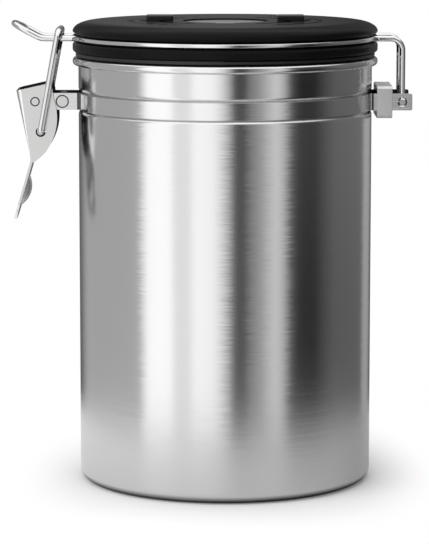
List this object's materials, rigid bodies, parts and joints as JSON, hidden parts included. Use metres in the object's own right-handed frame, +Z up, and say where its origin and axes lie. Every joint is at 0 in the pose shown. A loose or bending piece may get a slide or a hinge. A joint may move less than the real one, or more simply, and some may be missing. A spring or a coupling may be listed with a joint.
{
  "type": "coffee canister",
  "caption": "Tall steel coffee canister with a black wire-hinged lid, over-centre bail latch, date sliders and a one-way gas valve under a steel disc.",
  "frame": {"origin": "middle of the flat foot, on the surface it stands on", "axes": "+Z up along the canister; latch at -X, hinge at +X, front at -Y"},
  "size_m": [0.1631, 0.1246, 0.1912],
  "materials": {
    "brushed_body": "brushed",
    "band_steel": "satin",
    "rivet_steel": "satin",
    "lever_steel": "satin",
    "polished_wire": "polished",
    "cover_steel": "satin",
    "lid_plastic": "satin",
    "slider_plastic": "gloss",
    "valve_plastic": "matte",
    "gasket_silicone": "matte",
    "valve_silicone": "matte",
    "filter_paper": "matte"
  },
  "bodies": {
    "root": {"canister_body": "brushed_body", "front_band": "band_steel", "rear_band": "band_steel", "band_clip": "band_steel", "band_rivet": "rivet_steel", "lever_rivet": "rivet_steel"},
    "latch_lever": {"latch_lever": "lever_steel"},
    "latch_bail": {"latch_bail": "polished_wire"},
    "lid": {"lid_wire": "polished_wire", "lid_cap": "lid_plastic", "lid_base": "lid_plastic", "lid_gasket": "gasket_silicone", "lid_screws": "rivet_steel", "valve_cover": "cover_steel", "valve_body": "valve_plastic", "valve_seal": "gasket_silicone", "valve_filter": "filter_paper", "valve_retainer": "valve_plastic"},
    "valve_flap": {"valve_flap": "valve_silicone"},
    "month_slider": {"month_slider": "slider_plastic", "month_keeper": "valve_plastic"},
    "day_slider": {"day_slider": "slider_plastic", "day_keeper": "valve_plastic"}
  },
  "joints": [
    {"name": "lid_hinge", "type": "hinge", "parent": "root", "child": "lid", "pos_m": [0.0719, 0, 0.1564], "axis": [0, 1, 0], "range_deg": [0, 105]},
    {"name": "lever_pivot", "type": "hinge", "parent": "root", "child": "latch_lever", "pos_m": [-0.0773, 0, 0.1564], "axis": [0, 1, 0], "range_deg": [0, 115]},
    {"name": "bail_swing", "type": "hinge", "parent": "latch_lever", "child": "latch_bail", "pos_m": [-0.0751, 0, 0.1441], "axis": [0, 1, 0], "range_deg": [-121, 0]},
    {"name": "month_turn", "type": "hinge", "parent": "lid", "child": "month_slider", "pos_m": [0, 0, 0.1885], "axis": [0, 0, 1], "range_deg": [-50, 60]},
    {"name": "day_turn", "type": "hinge", "parent": "lid", "child": "day_slider", "pos_m": [0, 0, 0.1885], "axis": [0, 0, 1], "range_deg": [-60, 60]},
    {"name": "flap_lift", "type": "slide", "parent": "lid", "child": "valve_flap", "axis": [0, 0, 1], "range_m": [0, 0.0006]}
  ],
  "couplings": [
    {"joint": "bail_swing", "follows": "lever_pivot", "ratio": -1.05}
  ]
}
